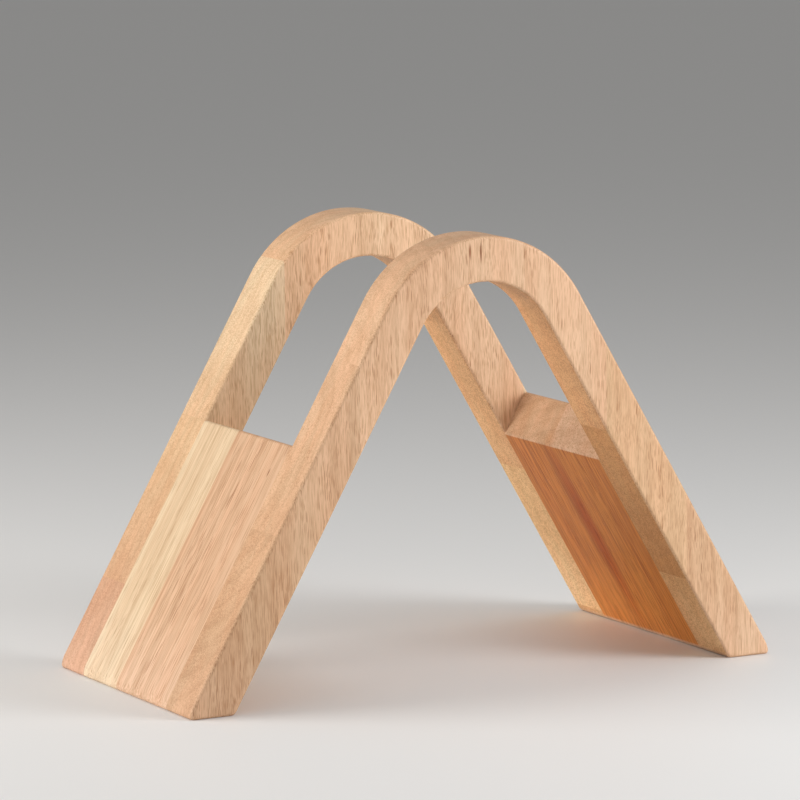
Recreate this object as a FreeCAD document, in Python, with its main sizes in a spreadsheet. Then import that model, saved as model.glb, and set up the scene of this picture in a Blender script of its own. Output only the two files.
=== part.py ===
# A wooden book end in the shape of a wide letter A.
#
# Two equal arch frames stand parallel, one in front and one behind. Each is sawn from a panel
# of upright staves glued edge to edge. A sloping side panel, glued up the same way, fills the
# space between the two left legs, and another the space between the two right legs, from the
# ground to about half height. Dowels hold the side panels to the frames. Every edge was
# rounded over after the glue-up, so the pieces meet flush.
#
# Millimetres. X runs across the A, Y from the front frame to the back one, Z up. The origin
# is on the ground, under the middle of the book end.
import FreeCAD, Part
import Sketcher
import math
import os

Vector = FreeCAD.Vector

doc = FreeCAD.newDocument("book_end")

# ---------------------------------------------------------------- driving dimensions

DRIVING_SIZES = [
    ("overall_height", 200, "ground to the crown of the arch"),
    ("overall_depth", 137, "front face to back face"),
    ("leg_slope", 60, "degrees between a leg and the ground"),
    ("crown_radius", 55, "outside of the bend at the top"),
    ("band_width", 20, "leg seen from the front, square across"),
    ("frame_thickness", 25, "each arch frame, front to back"),
    ("panel_height", 112.5, "outer top edge of a side panel above the ground"),
    ("toe_radius", 12, "outer end of a foot, upright where it meets the ground"),
    ("heel_radius", 3, "inner end of a foot"),
    ("edge_radius", 1.5, "every long edge, rounded over"),
    ("stave_width", 41, "pitch of the glue joints in a frame"),
    ("front_joint_shift", 20, "front frame's glue joint nearest the middle"),
    ("back_joint_shift", -1, "back frame's glue joint nearest the middle"),
    ("narrowest_stave", 15, "no stave of a frame is narrower, toe included"),
    ("left_panel_joint", 35, "width of the left panel's rear stave"),
    ("right_panel_joint", 41, "width of the right panel's rear stave"),
    ("dowel_diameter", 8, "dowels between the side panels and the frames"),
    ("dowel_length", 40, "half in the panel and half in the frame"),
    ("dowel_chamfer", 1, "at both ends of a dowel"),
    ("upper_dowel_reach", 92, "upper dowels from the middle, along X"),
    ("lower_dowel_reach", 113, "lower dowels from the middle, along X"),
    ("saw_clearance", 10, "how far a cut runs past the wood"),
]

sheet = doc.addObject("Spreadsheet::Sheet", "sizes")
for row, (alias, value, meaning) in enumerate(DRIVING_SIZES, start=1):
    sheet.set(f"A{row}", alias)
    sheet.set(f"B{row}", str(value))
    sheet.set(f"C{row}", meaning)
    sheet.setAlias(f"B{row}", alias)
doc.recompute()


def size(alias):
    return float(sheet.get(alias))


def value_of(expression):
    """The number that an expression gives now, in millimetres or degrees."""
    result = sheet.evalExpression(expression)
    return float(getattr(result, "Value", result))


# Formulas shared by several expressions, in the words of the sheet.
CROWN_CENTRE = "(sizes.overall_height - sizes.crown_radius)"
BAND_MIDDLE = "(sizes.crown_radius - sizes.band_width / 2)"
FRAME_INNER_FACE = "(sizes.overall_depth / 2 - sizes.frame_thickness)"
SLOPE = "(sizes.leg_slope * 1 deg)"
SHARP_TOE = f"((sizes.crown_radius + {CROWN_CENTRE} * cos({SLOPE})) / sin({SLOPE}))"
WINDOW_TOP = "(sizes.overall_height + sizes.saw_clearance)"
WINDOW_DEPTH = f"({WINDOW_TOP} - 2 * sizes.panel_height + {SHARP_TOE} * tan({SLOPE}))"


# ---------------------------------------------------------------- helpers

def polar(radius, degrees):
    angle = math.radians(degrees)
    return Vector(radius * math.cos(angle), radius * math.sin(angle), 0)


def origin_plane(body, role):
    return next(item for item in body.Origin.OriginFeatures if item.Role == role)


def new_sketch(body, name):
    """An empty sketch on the body's upright plane: sketch x is X and sketch y is Z."""
    sketch = body.newObject("Sketcher::SketchObject", name)
    sketch.AttachmentSupport = [(origin_plane(body, "XZ_Plane"), "")]
    sketch.MapMode = "FlatFace"
    return sketch


def arc(centre, radius, first, last):
    circle = Part.Circle(centre, Vector(0, 0, 1), radius)
    return Part.ArcOfCircle(circle, math.radians(first), math.radians(last))


def dimension(sketch, kind, elements, name, expression):
    """Adds a named dimension, and binds it to the sheet."""
    value = value_of(expression)
    if kind == "Angle":
        value = math.radians(value)
    index = sketch.addConstraint(Sketcher.Constraint(kind, *elements, value))
    sketch.renameConstraint(index, name)
    sketch.setExpression(f"Constraints.{name}", expression)


def constrain(sketch, kind, *elements):
    sketch.addConstraint(Sketcher.Constraint(kind, *elements))


# Ends of a line or an arc, and the sketch's own axes, as the sketcher numbers them.
START, END, CENTRE = 1, 2, 3
X_AXIS, Z_AXIS = -1, -2


def draw_arch(sketch):
    """The outline of a frame: feet with rounded toes and heels, straight legs, round crown."""
    slope = size("leg_slope")
    lean = 90 - slope
    crown = size("crown_radius")
    inside = crown - size("band_width")
    toe = size("toe_radius")
    heel = size("heel_radius")
    centre = Vector(0, size("overall_height") - crown, 0)
    side = polar(1, lean)

    # Centres of the toe and heel arcs: each arc is tangent to its leg's edge.
    toe_x = (crown - toe + centre.y * side.y) / side.x
    heel_x = (inside + heel + (centre.y - heel) * side.y) / side.x
    toe_right = Vector(toe_x, 0, 0)
    toe_left = Vector(-toe_x, 0, 0)
    heel_right = Vector(heel_x, heel, 0)
    heel_left = Vector(-heel_x, heel, 0)

    outline = [
        arc(toe_right, toe, 0, lean),
        Part.LineSegment(toe_right + polar(toe, lean), centre + polar(crown, lean)),
        arc(centre, crown, lean, 180 - lean),
        Part.LineSegment(centre + polar(crown, 180 - lean), toe_left + polar(toe, 180 - lean)),
        arc(toe_left, toe, 180 - lean, 180),
        Part.LineSegment(toe_left + polar(toe, 180), heel_left + polar(heel, 270)),
        arc(heel_left, heel, 270, 360 - lean),
        Part.LineSegment(heel_left + polar(heel, -lean), centre + polar(inside, 180 - lean)),
        arc(centre, inside, lean, 180 - lean),
        Part.LineSegment(centre + polar(inside, lean), heel_right + polar(heel, 180 + lean)),
        arc(heel_right, heel, 180 + lean, 270),
        Part.LineSegment(heel_right + polar(heel, 270), toe_right + polar(toe, 0)),
    ]
    (toe_arc_right, leg_right, crown_arc, leg_left, toe_arc_left, sole_left,
     heel_arc_left, inner_left, inner_arc, inner_right, heel_arc_right, sole_right) = (
        sketch.addGeometry(outline, False))

    smooth_joints = [
        (toe_arc_right, END, leg_right, START),
        (leg_right, END, crown_arc, START),
        (crown_arc, END, leg_left, START),
        (leg_left, END, toe_arc_left, START),
        (sole_left, END, heel_arc_left, START),
        (heel_arc_left, END, inner_left, START),
        (inner_left, END, inner_arc, END),
        (inner_arc, START, inner_right, START),
        (inner_right, END, heel_arc_right, START),
        (heel_arc_right, END, sole_right, START),
    ]
    for joint in smooth_joints:
        constrain(sketch, "Tangent", *joint)
    constrain(sketch, "Coincident", toe_arc_left, END, sole_left, START)
    constrain(sketch, "Coincident", sole_right, END, toe_arc_right, START)
    constrain(sketch, "Coincident", inner_arc, CENTRE, crown_arc, CENTRE)
    constrain(sketch, "PointOnObject", crown_arc, CENTRE, Z_AXIS)
    for toe_arc in (toe_arc_right, toe_arc_left):
        constrain(sketch, "PointOnObject", toe_arc, CENTRE, X_AXIS)
    for sole in (sole_left, sole_right):
        constrain(sketch, "PointOnObject", sole, START, X_AXIS)
        constrain(sketch, "PointOnObject", sole, END, X_AXIS)
    constrain(sketch, "Parallel", inner_right, leg_right)
    constrain(sketch, "Parallel", inner_left, leg_left)

    dimension(sketch, "Angle", [leg_right], "right_leg_angle", f"180 deg - {SLOPE}")
    dimension(sketch, "Angle", [leg_left], "left_leg_angle", f"180 deg + {SLOPE}")
    dimension(sketch, "DistanceY", [X_AXIS, START, crown_arc, CENTRE], "crown_centre", CROWN_CENTRE)
    dimension(sketch, "Radius", [crown_arc], "crown", "sizes.crown_radius")
    dimension(sketch, "Radius", [inner_arc], "inside", "sizes.crown_radius - sizes.band_width")
    dimension(sketch, "Radius", [toe_arc_right], "right_toe", "sizes.toe_radius")
    dimension(sketch, "Radius", [toe_arc_left], "left_toe", "sizes.toe_radius")
    dimension(sketch, "Radius", [heel_arc_right], "right_heel", "sizes.heel_radius")
    dimension(sketch, "Radius", [heel_arc_left], "left_heel", "sizes.heel_radius")


def draw_window(sketch):
    """A wide V, open upwards: its sides are the top faces of the two side panels."""
    top = value_of(WINDOW_TOP)
    depth = value_of(WINDOW_DEPTH)
    half_width = depth / math.tan(math.radians(size("leg_slope")))

    corners = [Vector(0, top - depth, 0), Vector(half_width, top, 0), Vector(-half_width, top, 0)]
    sides = [Part.LineSegment(corners[i], corners[(i + 1) % 3]) for i in range(3)]
    right, across, left = sketch.addGeometry(sides, False)
    for first, second in ((right, across), (across, left), (left, right)):
        constrain(sketch, "Coincident", first, END, second, START)
    constrain(sketch, "PointOnObject", right, START, Z_AXIS)
    constrain(sketch, "Symmetric", across, START, across, END, Z_AXIS)
    dimension(sketch, "Angle", [right], "panel_top_angle", SLOPE)
    dimension(sketch, "DistanceY", [X_AXIS, START, across, START], "window_top", WINDOW_TOP)
    dimension(sketch, "DistanceY", [right, START, right, END], "window_depth", WINDOW_DEPTH)


def is_sharp_outside_edge(solid, edge):
    """True where two faces meet at a ridge, false in a hollow corner or along a smooth seam."""
    faces = solid.ancestorsOfType(edge, Part.Face)
    if len(faces) != 2:
        return False
    middle = edge.valueAt((edge.FirstParameter + edge.LastParameter) / 2)
    normals = [face.normalAt(*face.Surface.parameter(middle)) for face in faces]
    if normals[0].getAngle(normals[1]) < math.radians(1):
        return False
    step = (normals[0] - normals[1]) * 0.05
    return not solid.isInside(middle + step, 0.001, True)


# ---------------------------------------------------------------- the glued-up book end

def glued_up_shape():
    """Both frames and both side panels as one rounded block, before it is parted at the joints."""
    body = doc.addObject("PartDesign::Body", "glued_up")

    arch = new_sketch(body, "arch_outline")
    draw_arch(arch)
    block = body.newObject("PartDesign::Pad", "arch_block")
    block.Profile = arch
    block.Midplane = True
    block.Refine = False
    block.setExpression("Length", "sizes.overall_depth")

    window = new_sketch(body, "window_outline")
    draw_window(window)
    opening = body.newObject("PartDesign::Pocket", "window")
    opening.Profile = window
    opening.Midplane = True
    opening.Refine = False
    opening.setExpression("Length", "sizes.overall_depth - 2 * sizes.frame_thickness")
    doc.recompute()

    solid = opening.Shape
    edges = [f"Edge{number}" for number, edge in enumerate(solid.Edges, start=1)
             if is_sharp_outside_edge(solid, edge)]
    rounding = body.newObject("PartDesign::Fillet", "rounded_edges")
    rounding.Base = (opening, edges)
    rounding.setExpression("Radius", "sizes.edge_radius")
    body.Tip = rounding
    doc.recompute()
    return body


# ---------------------------------------------------------------- dowels

SIDES = {"left": "-1", "right": "1"}
ENDS = {"front": "-1", "back": "1"}
LEVELS = ("upper", "lower")


def place(item, x, y, z):
    item.setExpression("Placement.Base.x", x)
    item.setExpression("Placement.Base.y", y)
    item.setExpression("Placement.Base.z", z)


def dowel_place(side, end, level):
    """Centre of a dowel: half way through the leg's band, on the seam of panel and frame."""
    reach = f"sizes.{level}_dowel_reach"
    x = f"{SIDES[side]} * {reach}"
    y = f"{ENDS[end]} * {FRAME_INNER_FACE}"
    z = f"{CROWN_CENTRE} + ({BAND_MIDDLE} - {reach} * sin({SLOPE})) / cos({SLOPE})"
    return x, y, z


def make_dowel(label, position):
    body = doc.addObject("PartDesign::Body", label)
    body.Label = label
    sketch = new_sketch(body, f"{label}_circle")
    outline = Part.Circle(Vector(0, 0, 0), Vector(0, 0, 1), size("dowel_diameter") / 2)
    circle = sketch.addGeometry(outline, False)
    constrain(sketch, "Coincident", circle, CENTRE, X_AXIS, START)
    dimension(sketch, "Radius", [circle], "dowel_radius", "sizes.dowel_diameter / 2")
    rod = body.newObject("PartDesign::Pad", f"{label}_rod")
    rod.Profile = sketch
    rod.Midplane = True
    rod.setExpression("Length", "sizes.dowel_length")
    doc.recompute()
    ends = [f"Edge{number}" for number, edge in enumerate(rod.Shape.Edges, start=1)
            if isinstance(edge.Curve, Part.Circle)]
    chamfer = body.newObject("PartDesign::Chamfer", f"{label}_ends")
    chamfer.Base = (rod, ends)
    chamfer.setExpression("Size", "sizes.dowel_chamfer")
    body.Tip = chamfer
    place(body, *position)
    return body


def make_dowel_hole(label, position):
    """The drilled space for one dowel, in panel and frame together."""
    hole = doc.addObject("Part::Cylinder", f"{label}_hole")
    hole.setExpression("Radius", "sizes.dowel_diameter / 2")
    hole.setExpression("Height", "sizes.dowel_length")
    hole.Placement.Rotation = FreeCAD.Rotation(Vector(1, 0, 0), -90)
    x, y, z = position
    place(hole, x, f"{y} - sizes.dowel_length / 2", z)
    return hole


dowels = []
holes = []
for side in SIDES:
    for end in ENDS:
        for level in LEVELS:
            dowel_label = f"{side}_{end}_{level}_dowel"
            dowel_centre = dowel_place(side, end, level)
            dowels.append(make_dowel(dowel_label, dowel_centre))
            holes.append(make_dowel_hole(dowel_label, dowel_centre))

drilling = doc.addObject("Part::Compound", "drilling")
drilling.Links = holes


# ---------------------------------------------------------------- staves

def make_slab(label, x_range, y_range):
    """The space of one stave: an upright slab between two glue joints."""
    slab = doc.addObject("Part::Box", f"{label}_slab")
    slab.setExpression("Length", f"{x_range[1]} - ({x_range[0]})")
    slab.setExpression("Width", f"{y_range[1]} - ({y_range[0]})")
    slab.setExpression("Height", "sizes.overall_height + 2 * sizes.saw_clearance")
    place(slab, x_range[0], y_range[0], "-sizes.saw_clearance")
    return slab


def make_stave(label, block, x_range, y_range):
    """The part of the glued-up book end that lies in one slab, less its dowel holes."""
    wood = doc.addObject("Part::Common", f"{label}_wood")
    wood.Base = block
    wood.Tool = make_slab(label, x_range, y_range)
    stave = doc.addObject("Part::Cut", label)
    stave.Base = wood
    stave.Tool = drilling
    stave.Label = label
    return stave


FRONT = "(-sizes.overall_depth / 2 - sizes.saw_clearance)"
BACK = "(sizes.overall_depth / 2 + sizes.saw_clearance)"
LEFT = f"(-{SHARP_TOE} - sizes.saw_clearance)"
RIGHT = f"({SHARP_TOE} + sizes.saw_clearance)"
MIDDLE = "0"


def make_frame(end, y_range, block):
    """One arch frame: its glue joints stand a stave's width apart, counted from the middle."""
    shift = size(f"{end}_joint_shift")
    pitch = size("stave_width")
    reach = value_of(SHARP_TOE) - size("narrowest_stave")
    first = math.ceil((-reach - shift) / pitch)
    last = math.floor((reach - shift) / pitch)
    joints = [f"(sizes.{end}_joint_shift + {number} * sizes.stave_width)"
              for number in range(first, last + 1)]
    borders = [LEFT] + joints + [RIGHT]
    return [make_stave(f"{end}_frame_stave_{number}", block, borders[number - 1:number + 1], y_range)
            for number in range(1, len(borders))]


def make_side_panel(side, block):
    """One side panel: a rear stave against the back frame and a front stave."""
    joint = f"({FRAME_INNER_FACE} - sizes.{side}_panel_joint)"
    across = {"left": (LEFT, MIDDLE), "right": (MIDDLE, RIGHT)}[side]
    return [
        make_stave(f"{side}_panel_rear_stave", block, across, (joint, FRAME_INNER_FACE)),
        make_stave(f"{side}_panel_front_stave", block, across, (f"(-{FRAME_INNER_FACE})", joint)),
    ]


glued_up = glued_up_shape()
staves = make_frame("front", (FRONT, f"(-{FRAME_INNER_FACE})"), glued_up)
staves += make_frame("back", (FRAME_INNER_FACE, BACK), glued_up)
staves += make_side_panel("left", glued_up)
staves += make_side_panel("right", glued_up)
doc.recompute()


# ---------------------------------------------------------------- checks and files

def check(condition, message):
    if not condition:
        raise RuntimeError(message)


for item in doc.Objects:
    check("Invalid" not in item.State and "Error" not in item.State, f"{item.Label} failed")

for part in staves + dowels:
    shape = part.Shape
    check(not shape.isNull() and shape.isValid(), f"{part.Label} has no valid shape")
    check(len(shape.Solids) == 1, f"{part.Label} is {len(shape.Solids)} solids")

drilled = sum(hole.Shape.Volume for hole in holes)
wood_left = sum(stave.Shape.Volume for stave in staves)
check(abs(glued_up.Shape.Volume - drilled - wood_left) < 1.0, "the staves don't fill the book end")

os.makedirs("parts", exist_ok=True)
for part in staves + dowels:
    part.Shape.exportStep(f"parts/{part.Label}.step")
    box = part.Shape.optimalBoundingBox()
    print(f"{part.Label:28s} {part.Shape.Volume:10.0f} mm3"
          f"  x {box.XMin:7.1f} {box.XMax:7.1f}  y {box.YMin:6.1f} {box.YMax:6.1f}"
          f"  z {box.ZMin:6.1f} {box.ZMax:6.1f}")
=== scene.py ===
"""The looks of the wooden A-shaped book end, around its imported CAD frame.

Every stave of the CAD model is shown as it is and gets a wood of its own: one procedural
recipe, with the colour, grain direction, figure and pores of that stave. Metres, +Z up.
"""
import bpy
import math
from mathutils import Matrix, Vector


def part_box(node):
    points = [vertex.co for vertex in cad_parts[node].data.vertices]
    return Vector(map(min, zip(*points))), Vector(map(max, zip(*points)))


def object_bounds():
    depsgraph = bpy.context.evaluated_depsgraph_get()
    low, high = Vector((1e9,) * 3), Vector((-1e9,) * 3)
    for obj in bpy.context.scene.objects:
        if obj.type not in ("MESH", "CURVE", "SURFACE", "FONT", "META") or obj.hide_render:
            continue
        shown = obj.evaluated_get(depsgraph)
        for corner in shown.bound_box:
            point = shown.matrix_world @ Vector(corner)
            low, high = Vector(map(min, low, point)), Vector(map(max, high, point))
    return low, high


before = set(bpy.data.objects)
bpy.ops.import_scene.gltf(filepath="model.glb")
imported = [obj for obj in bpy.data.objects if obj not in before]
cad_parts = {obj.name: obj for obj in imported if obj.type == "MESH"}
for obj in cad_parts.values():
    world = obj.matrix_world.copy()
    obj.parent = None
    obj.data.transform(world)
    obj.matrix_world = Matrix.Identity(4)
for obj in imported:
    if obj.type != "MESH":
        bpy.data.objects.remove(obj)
cad_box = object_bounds()

LEG_LEAN = math.radians(30)        # legs and side panels, from upright
MM_PER_METRE = 1000


# ------------------------------------------------------------------ shader nodes

FIRST_COLOUR, SECOND_COLOUR, MIXED_COLOUR = 6, 7, 2       # a Mix node's colour sockets


class Shader:
    """Shorthand for one material's node tree. A socket or a plain value goes in as an input."""

    def __init__(self, name):
        self.material = bpy.data.materials.new(name)
        self.material.use_nodes = True
        self.tree = self.material.node_tree
        self.surface = self.tree.nodes["Principled BSDF"]

    def add(self, kind, inputs=None, **settings):
        node = self.tree.nodes.new(kind)
        for setting, value in settings.items():
            setattr(node, setting, value)
        for socket, value in (inputs or {}).items():
            self.feed(node.inputs[socket], value)
        return node

    def feed(self, socket, value):
        if isinstance(value, bpy.types.NodeSocket):
            self.tree.links.new(value, socket)
        else:
            socket.default_value = value

    def math(self, operation, *values, clamp=False):
        node = self.add("ShaderNodeMath", dict(enumerate(values)), operation=operation)
        node.use_clamp = clamp
        return node.outputs[0]

    def vector(self, operation, *values):
        node = self.add("ShaderNodeVectorMath", dict(enumerate(values)), operation=operation)
        return node.outputs["Value" if operation in ("DOT_PRODUCT", "LENGTH") else "Vector"]

    def scaled(self, vector, factor):
        node = self.add("ShaderNodeVectorMath", {"Scale": factor}, operation="SCALE")
        self.feed(node.inputs[0], vector)
        return node.outputs["Vector"]

    def upright(self, vector, lean):
        """vector turned about Y, so that what leans towards +X by lean stands upright."""
        turn = {"Vector": vector, "Angle": -lean}
        return self.add("ShaderNodeVectorRotate", turn, rotation_type="Y_AXIS").outputs[0]

    def component(self, vector, axis):
        return self.add("ShaderNodeSeparateXYZ", {"Vector": vector}).outputs[axis]

    def blend(self, amount, first, second, blend_type="MIX"):
        node = self.add("ShaderNodeMix", {"Factor": amount}, data_type="RGBA", blend_type=blend_type)
        self.feed(node.inputs[FIRST_COLOUR], first)
        self.feed(node.inputs[SECOND_COLOUR], second)
        return node.outputs[MIXED_COLOUR]

    def tinted(self, colour, tint):
        return self.blend(1.0, colour, tint, "MULTIPLY")

    def tinted_where(self, amount, colour, tint):
        """colour, times tint where amount is 1 and unchanged where it is 0."""
        return self.tinted(colour, self.blend(amount, grey(1.0), opaque(tint)))

    def rescale(self, value, low, high, to_low=0.0, to_high=1.0):
        """value from low..high to to_low..to_high, smooth at both ends and held beyond them."""
        limits = {"Value": value, "From Min": low, "From Max": high, "To Min": to_low, "To Max": to_high}
        return self.add("ShaderNodeMapRange", limits, interpolation_type="SMOOTHSTEP").outputs[0]

    def noise(self, place, per_mm, detail=2.0, roughness=0.5):
        """Noise with per_mm lumps to the mm along X, Y and Z."""
        inputs = {"Vector": self.vector("MULTIPLY", place, per_mm), "Scale": 1.0, "Detail": detail,
                  "Roughness": roughness}
        return self.add("ShaderNodeTexNoise", inputs).outputs


def opaque(colour):
    return (*colour, 1.0)


def grey(value):
    return opaque((value, value, value))


# ------------------------------------------------------------------ one stave's wood

# Tints of the wood's own colour as linear RGB factors; the last two are painted light and painted shade.
LIGHT_LINE = (1.10, 1.10, 1.11)
DARK_LINE = (0.74, 0.66, 0.58)
BROWN_LINE = (0.68, 0.52, 0.38)
OPEN_PORE = (0.50, 0.33, 0.22)
DARK_BROWN = (0.42, 0.24, 0.14)
REDDISH = (0.78, 0.46, 0.15)
LESS_ROSY = (0.99, 1.01, 1.02)
MORE_ROSY = (1.01, 0.98, 0.97)
# Painted light off the floor, brightening the foot of the faces.
PAINTED_FLOOR_LIGHT = (1.28, 1.40, 1.64)
PAINTED_INNER_SHADE = (0.93, 0.81, 0.60)        # painted shade, warm like light bounced between the wooden faces, usual for the inner faces, which look down

# Places and lengths in the wood, in mm.
TREE_STEP = (37.0, 61.0, 173.0)    # from the wood of one seed to that of the next
TO_PITH = (90.0, 40.0)             # from a stave to the middle of its tree
RING_WIDTH = 5.5                   # of one year's growth
FLOOR_LIGHT_HEIGHTS = (2.0, 42.0)                 # heights between which the painted light off the floor fades out


class Stave:
    """What makes one stave's wood differ from the next one's. Lengths are in mm."""

    def __init__(self, colour, seed, foot=None, lean=0.0, length=1.0, waviness=6.0,
                 banding=1.0, figure=0.3, thickness=1.0, pores=0.7, grit=1.0,
                 inner_shade_tint=PAINTED_INNER_SHADE, marks=()):
        self.colour = colour            # sanded and lacquered, linear RGB
        self.foot = foot or colour      # the same at the stave's lower end
        self.origin = tuple(step * seed for step in TREE_STEP)
        self.lean = lean                # of the grain from upright, in radians, towards +X
        self.length = length            # of the streaks and lines along the grain, 1 is usual
        self.waviness = waviness        # how far the grain wanders from side to side
        self.banding = banding          # strength of the broad light and dark bands
        self.figure = figure            # strength of the brown lines and streaks
        self.thickness = thickness      # of the brown lines and the pores, 1 is usual
        self.pores = pores              # how many open pores show, 0 to 1
        self.grit = grit                # mottling of the faces cut across the grain
        self.inner_shade_tint = inner_shade_tint    # painted shade on the inner faces, warm like bounced light
        self.marks = marks              # flecks, each (centre, half width, half length, tint)


def wander_of(nodes, stave, in_tree):
    """How far the grain has wandered from side to side on its way up."""
    wander = nodes.noise(in_tree, (0.03, 0.03, 0.016 / stave.length))["Color"]
    centred = nodes.vector("SUBTRACT", wander, (0.5, 0.5, 0.5))
    return nodes.vector("MULTIPLY", centred, (stave.waviness, stave.waviness, 0.0))


def late_wood(nodes, stave, grain):
    """1 in the darker part of each growth ring about the pith."""
    pith = (stave.origin[0] - TO_PITH[0], stave.origin[1] - TO_PITH[1], 0.0)
    from_pith = nodes.vector("MULTIPLY", nodes.vector("SUBTRACT", grain, pith), (1.0, 1.0, 0.0))
    ring = nodes.math("FRACT", nodes.math("DIVIDE", nodes.vector("LENGTH", from_pith), RING_WIDTH))
    rising = nodes.rescale(ring, 0.45, 0.95)
    falling = nodes.rescale(ring, 0.96, 1.0, 1.0, 0.0)
    return nodes.math("MULTIPLY", rising, falling)


class Figure:
    """Layers of one stave's figure, from broad bands down to single fibres, each 0 to 1."""

    def __init__(self, nodes, stave, grain):
        thread_size = 3.2 / stave.thickness
        clusters = nodes.noise(grain, (0.16, 0.16, 0.02), 1.0)["Fac"]
        self.bands = nodes.noise(grain, (0.10, 0.10, 0.004), 2.0, 0.55)["Fac"]
        self.streaks = nodes.noise(grain, (0.50, 0.50, 0.016), 3.0, 0.6)["Fac"]
        self.threads = nodes.noise(grain, (thread_size, thread_size, 0.10), 1.0)["Fac"]
        self.fibres = nodes.noise(grain, (4.2, 4.2, 0.40), 2.0, 0.6)["Fac"]
        self.specks = nodes.noise(grain, (1.5, 1.1, 0.9), 2.0, 0.6)["Fac"]
        self.rosiness = nodes.noise(grain, (0.07, 0.13, 0.006), 1.0)["Fac"]
        self.crowding = nodes.rescale(clusters, 0.30, 0.62, 0.35, 1.0)
        self.late_wood = late_wood(nodes, stave, grain)


def inner_face(nodes, normal, height):
    """1 on the faces that look down, but 0 on rims and on the sole."""
    looking_down = nodes.rescale(nodes.component(normal, "Z"), -0.48, -0.15, 1.0, 0.0)
    off_the_rim = nodes.rescale(nodes.math("ABSOLUTE", nodes.component(normal, "Y")), 0.1, 0.7, 1.0, 0.0)
    off_the_sole = nodes.rescale(height, 1.0, 2.5)
    return nodes.math("MULTIPLY", nodes.math("MULTIPLY", looking_down, off_the_rim), off_the_sole)


def pore_layer(nodes, vessels, across, along, smallest, largest, share):
    """Vessels as long thin cells of Voronoi space, only a share of them open."""
    cell = nodes.add("ShaderNodeTexVoronoi", {
        "Vector": nodes.vector("MULTIPLY", vessels, (across, across, along)), "Scale": 1.0})
    lot = nodes.add("ShaderNodeSeparateColor", {"Color": cell.outputs["Color"]})
    reach = nodes.rescale(lot.outputs[0], 0.0, 1.0, smallest, largest)
    past_reach = nodes.math("SUBTRACT", cell.outputs["Distance"], reach)
    within = nodes.rescale(past_reach, -0.10, 0.05, 1.0, 0.0)
    open_ones = nodes.rescale(lot.outputs[1], 1.0 - share, 1.1 - share)
    return nodes.math("MULTIPLY", within, open_ones)


def open_pores(nodes, stave, in_tree, crowding, end_grain):
    """Fine and coarse pores, crowded in some places, and fewer where they are cut across."""
    per_mm = (1 / stave.thickness, 1 / stave.thickness, 1 / math.sqrt(stave.length))
    vessels = nodes.vector("MULTIPLY", in_tree, per_mm)
    fine = pore_layer(nodes, vessels, 2.1, 0.13, 0.18, 0.40, stave.pores)
    coarse = pore_layer(nodes, vessels, 1.15, 0.075, 0.10, 0.27, stave.pores * 0.6)
    deepest = nodes.math("MAXIMUM", nodes.math("MULTIPLY", fine, 0.75), coarse)
    pore = nodes.math("MULTIPLY", deepest, crowding)
    return nodes.math("MULTIPLY", pore, nodes.rescale(end_grain, 0.2, 0.8, 1.0, 0.3))


def tone_of(nodes, stave, figure, end_grain, inside):
    """Brightness about 1. The inner faces show more of the lines and the mottling."""
    band_swing = 0.07 * stave.banding
    streak_swing = 0.05 * stave.banding
    mottling = 0.045 * stave.grit
    mottled = nodes.rescale(figure.specks, 0.36, 0.60, -1.6 * mottling, mottling)
    grit = nodes.math("MULTIPLY", nodes.rescale(end_grain, 0.2, 0.6), mottled)
    lines = nodes.math("ADD", nodes.rescale(figure.streaks, 0.3, 0.7, -streak_swing, streak_swing), grit)
    lines = nodes.math("ADD", lines, nodes.rescale(figure.threads, 0.28, 0.66, -0.12, 0.07))
    lines = nodes.math("ADD", lines, nodes.rescale(figure.fibres, 0.25, 0.75, -0.05, 0.05))
    lines = nodes.math("MULTIPLY", lines, nodes.rescale(inside, 0.0, 1.0, 1.0, 2.6))
    bands = nodes.rescale(figure.bands, 0.3, 0.7, 1.0 - band_swing, 1.0 + band_swing)
    tone = nodes.math("ADD", bands, lines)
    tone = nodes.math("MULTIPLY", tone, nodes.rescale(figure.late_wood, 0.0, 1.0, 1.01, 0.95))
    return nodes.math("MULTIPLY", tone, nodes.rescale(end_grain, 0.1, 1.0, 1.0, 0.94))


def base_colour(nodes, stave, figure, height, low, high, inside):
    """The wood's colour without its lines: rosier in places, with painted shade on the inner faces, and
    painted light off the floor near the foot, most of all on the inner faces."""
    base = nodes.blend(nodes.rescale(height, low, high), opaque(stave.foot), opaque(stave.colour))
    rosy = nodes.rescale(figure.rosiness, 0.35, 0.65)
    base = nodes.tinted(base, nodes.blend(rosy, opaque(LESS_ROSY), opaque(MORE_ROSY)))
    # Painted shade: faces that look down are darkened and warmed, as if lit only by light bounced off
    # the wood.
    base = nodes.tinted_where(inside, base, stave.inner_shade_tint)
    # Painted light off the floor: paler near the foot, most of all on the inner faces.
    low_down = nodes.rescale(height, *FLOOR_LIGHT_HEIGHTS, 1.0, 0.0)
    floor_light = nodes.math("MULTIPLY", low_down, nodes.rescale(inside, 0.0, 1.0, 0.35, 1.0))
    return nodes.tinted_where(floor_light, base, PAINTED_FLOOR_LIGHT)


def figured(nodes, stave, figure, base, tone, pore):
    """base with its light and dark lines, brown streaks and open pores."""
    dark = nodes.tinted(base, opaque(DARK_LINE))
    light = nodes.tinted(base, opaque(LIGHT_LINE))
    plain = nodes.blend(nodes.math("MULTIPLY_ADD", tone, 2.7, -2.0, clamp=True), dark, light)
    broad = nodes.rescale(figure.streaks, 0.54, 0.74, 0.0, stave.figure * 0.7)
    threads = nodes.rescale(figure.threads, 0.33, 0.45, stave.figure, 0.0)
    narrow = nodes.math("MULTIPLY", threads, figure.crowding)
    brown = nodes.math("MAXIMUM", broad, narrow)
    streaked = nodes.blend(brown, plain, nodes.tinted(base, opaque(BROWN_LINE)))
    in_pores = nodes.tinted(base, opaque(OPEN_PORE))
    return nodes.blend(nodes.math("MULTIPLY", pore, 0.9), streaked, in_pores)


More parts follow.
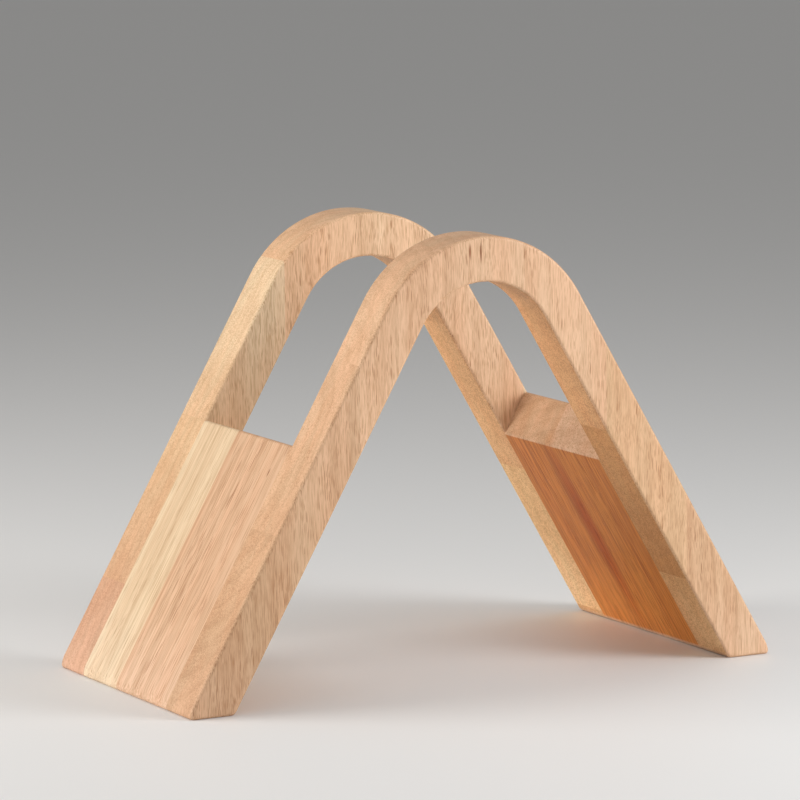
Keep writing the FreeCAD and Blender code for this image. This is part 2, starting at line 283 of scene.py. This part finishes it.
def marked(nodes, stave, colour, in_mm, wander):
    """colour with the stave's dark flecks and streaks, each in its own place."""
    for centre, half_width, half_length, tint in stave.marks:
        from_centre = nodes.upright(nodes.vector("SUBTRACT", in_mm, centre), stave.lean)
        wandering = nodes.vector("ADD", from_centre, nodes.scaled(wander, 0.4))
        reach = (half_width, half_width, half_length)
        size = nodes.vector("LENGTH", nodes.vector("DIVIDE", wandering, reach))
        colour = nodes.tinted_where(nodes.rescale(size, 0.2, 1.0, 1.0, 0.0), colour, tint)
    return colour


RELIEF = 0.0002                    # depth of pores and fibres, in metres


def satin_lacquer(nodes, fibres, pore):
    """A soft sheen, duller in the pores, and the relief of pores and fibres under it."""
    satin = nodes.rescale(fibres, 0.2, 0.8, 0.42, 0.54)
    roughness = nodes.math("ADD", satin, nodes.math("MULTIPLY", pore, 0.15))
    relief = nodes.math("SUBTRACT", nodes.math("MULTIPLY", fibres, 0.35), pore)
    bump = nodes.add("ShaderNodeBump", {"Height": relief, "Strength": 0.35, "Distance": RELIEF})
    nodes.feed(nodes.surface.inputs["Roughness"], roughness)
    nodes.feed(nodes.surface.inputs["Normal"], bump.outputs[0])
    nodes.surface.inputs["Specular IOR Level"].default_value = 0.22
    nodes.surface.inputs["Coat Weight"].default_value = 0.06
    nodes.surface.inputs["Coat Roughness"].default_value = 0.30


def wood(name, stave, low, high):
    """Sanded light hardwood. low and high are the heights of the stave's ends in mm."""
    nodes = Shader(name)
    here = nodes.add("ShaderNodeTexCoord").outputs
    in_mm = nodes.scaled(here["Object"], MM_PER_METRE)
    height = nodes.component(in_mm, "Z")
    inside = inner_face(nodes, here["Normal"], height)

    # 0 on a face along the fibres, 1 on one square across them.
    up_the_grain = (math.sin(stave.lean), 0.0, math.cos(stave.lean))
    end_grain = nodes.math("ABSOLUTE", nodes.vector("DOT_PRODUCT", here["Normal"], up_the_grain))

    in_straight_tree = nodes.vector("ADD", nodes.upright(in_mm, stave.lean), stave.origin)
    wander = wander_of(nodes, stave, in_straight_tree)
    in_tree = nodes.vector("ADD", in_straight_tree, wander)
    figure = Figure(nodes, stave, nodes.vector("MULTIPLY", in_tree, (1.0, 1.0, 1 / stave.length)))
    pore = open_pores(nodes, stave, in_tree, figure.crowding, end_grain)

    tone = tone_of(nodes, stave, figure, end_grain, inside)
    base = base_colour(nodes, stave, figure, height, low, high, inside)
    colour = figured(nodes, stave, figure, base, tone, pore)
    nodes.feed(nodes.surface.inputs["Base Color"], marked(nodes, stave, colour, in_mm, wander))
    satin_lacquer(nodes, figure.fibres, pore)
    return nodes.material


# ------------------------------------------------------------------ the staves

PALE = (0.76, 0.585, 0.385)
CREAM = (0.665, 0.515, 0.34)
PEACH = (0.70, 0.455, 0.285)
ROSE = (0.74, 0.49, 0.31)
TAN = (0.655, 0.42, 0.245)
BISCUIT = (0.63, 0.40, 0.24)
PINK = (0.61, 0.37, 0.23)

CROWN_FLECKS = (((-6.8, -68.5, 193.5), 0.95, 5.5, DARK_BROWN),
                ((-1.4, -68.5, 193.0), 0.85, 6.5, DARK_BROWN))
SMALL_FLECK = ((-90.2, -35.1, 98.8), 0.7, 3.0, DARK_BROWN)
RED_STREAK = ((96.5, 4.0, 52.0), 9.0, 70.0, REDDISH)

PANEL = {"waviness": 2.5, "length": 2.6}
LEFT_PANEL = {"lean": LEG_LEAN, "thickness": 1.35, **PANEL}
RIGHT_PANEL = {"lean": -LEG_LEAN, "thickness": 1.5, "banding": 1.2, "figure": 0.8, "pores": 0.75,
               "grit": 0.3, "marks": (RED_STREAK,), **PANEL}

# Each stave's tint for its inner faces is painted shade; the right panel's is the deepest and most
# orange, like light bounced between wooden faces.
STAVES = {
    "front_frame_stave_1": Stave(BISCUIT, 1, foot=(0.56, 0.345, 0.20), pores=0.85, figure=0.6),
    "front_frame_stave_2": Stave(PEACH, 2, foot=BISCUIT, pores=0.85, figure=0.5),
    "front_frame_stave_3": Stave(PEACH, 3, foot=ROSE, pores=0.85, figure=0.4),
    "front_frame_stave_4": Stave(PEACH, 4, pores=0.9, figure=0.5, marks=CROWN_FLECKS),
    "front_frame_stave_5": Stave(PEACH, 5, pores=0.8, figure=0.4),
    "front_frame_stave_6": Stave(TAN, 6, inner_shade_tint=(0.83, 0.67, 0.43)),
    "front_frame_stave_7": Stave(BISCUIT, 7, pores=0.6, inner_shade_tint=(1.0, 0.93, 0.70)),
    "back_frame_stave_1": Stave((0.57, 0.34, 0.215), 11),
    "back_frame_stave_2": Stave((0.67, 0.455, 0.27), 12, foot=PINK),
    "back_frame_stave_3": Stave(PALE, 13, foot=TAN, pores=0.85, figure=0.6),
    "back_frame_stave_4": Stave((0.76, 0.50, 0.31), 14, pores=0.9, figure=0.6),
    "back_frame_stave_5": Stave((0.79, 0.55, 0.35), 15, foot=PEACH, pores=0.95, figure=0.4),
    "back_frame_stave_6": Stave(ROSE, 16, pores=0.95, figure=0.5, inner_shade_tint=(1.0, 0.90, 0.69)),
    "back_frame_stave_7": Stave(PALE, 17, inner_shade_tint=(1.0, 0.84, 0.62)),
    "back_frame_stave_8": Stave(TAN, 18),
    "left_panel_rear_stave": Stave(CREAM, 21, figure=0.5, pores=0.5, **LEFT_PANEL),
    "left_panel_front_stave": Stave((0.635, 0.415, 0.265), 22, figure=0.8, pores=0.75,
                                    marks=(SMALL_FLECK,), **LEFT_PANEL),
    "right_panel_rear_stave": Stave(PEACH, 23, inner_shade_tint=(0.84, 0.47, 0.145), **RIGHT_PANEL),
    "right_panel_front_stave": Stave((0.72, 0.485, 0.325), 24, inner_shade_tint=(0.80, 0.44, 0.12),
                                     **RIGHT_PANEL),
}
DOWEL = Stave(TAN, 31, length=0.6)

for node_name, cad_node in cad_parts.items():
    bottom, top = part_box(node_name)
    recipe = STAVES.get(node_name, DOWEL)
    cad_node.data.materials.clear()
    cad_node.data.materials.append(
        wood(node_name + "_wood", recipe, bottom[2] * MM_PER_METRE, top[2] * MM_PER_METRE))


# ------------------------------------------------------------------ studio

FLOOR_REACH = 12.0                 # from the object to the floor's edges, in metres


def put_in_scene(name, data):
    thing = bpy.data.objects.new(name, data)
    bpy.context.scene.collection.objects.link(thing)
    return thing


def floor():
    """A plain pale floor, at the height of the object's lowest point."""
    mesh = bpy.data.meshes.new("floor")
    ground = cad_box[0].z
    signs = ((-1, -1), (1, -1), (1, 1), (-1, 1))
    corners = [(x * FLOOR_REACH, y * FLOOR_REACH, ground) for x, y in signs]
    mesh.from_pydata(corners, [], [(0, 1, 2, 3)])
    plane = put_in_scene("floor", mesh)
    nodes = Shader("floor")
    nodes.surface.inputs["Base Color"].default_value = grey(0.80)
    nodes.surface.inputs["Roughness"].default_value = 0.6
    mesh.materials.append(nodes.material)


def softbox(name, place, aim, size, watts, colour=(1.0, 1.0, 1.0)):
    lamp = bpy.data.lights.new(name, "AREA")
    lamp.shape = "RECTANGLE"
    lamp.size, lamp.size_y = size
    lamp.energy = watts
    lamp.color = colour
    holder = put_in_scene(name, lamp)
    holder.location = place
    holder.rotation_euler = (Vector(aim) - Vector(place)).to_track_quat("-Z", "Y").to_euler()


def world_light(strength):
    world = bpy.data.worlds.new("studio")
    world.use_nodes = True
    background = world.node_tree.nodes["Background"]
    background.inputs["Color"].default_value = (1.0, 0.99, 0.97, 1.0)
    background.inputs["Strength"].default_value = strength
    bpy.context.scene.world = world


def camera():
    """Seen from the front left and a little above, with a long lens."""
    lens = bpy.data.cameras.new("camera")
    lens.sensor_width = 36.0
    lens.lens = 240.76
    lens.clip_end = 100.0
    holder = put_in_scene("camera", lens)
    place = Matrix.Translation((-1.10679, -2.10682, 0.47218))
    heading = Matrix.Rotation(math.radians(-27.573), 4, "Z")
    tilt = Matrix.Rotation(math.radians(90 - 8.433), 4, "X")
    roll = Matrix.Rotation(math.radians(-0.658), 4, "Z")
    holder.matrix_world = place @ heading @ tilt @ roll
    bpy.context.scene.camera = holder


bpy.context.scene.view_settings.view_transform = "Standard"
floor()
middle = (cad_box[0] + cad_box[1]) / 2
softbox("left_softbox", (-1.02, 0.38, 0.36), middle, (0.7, 0.6), 10.2, (1.0, 0.95, 0.89))
softbox("right_softbox", (0.60, -0.62, 0.36), middle, (0.4, 0.5), 5.7)
softbox("front_softbox", (-0.75, -1.30, 0.70), middle, (0.8, 0.8), 2.0)
softbox("top_softbox", (0.0, 0.0, 1.25), middle, (0.8, 0.8), 3.1)
world_light(0.30)
camera()
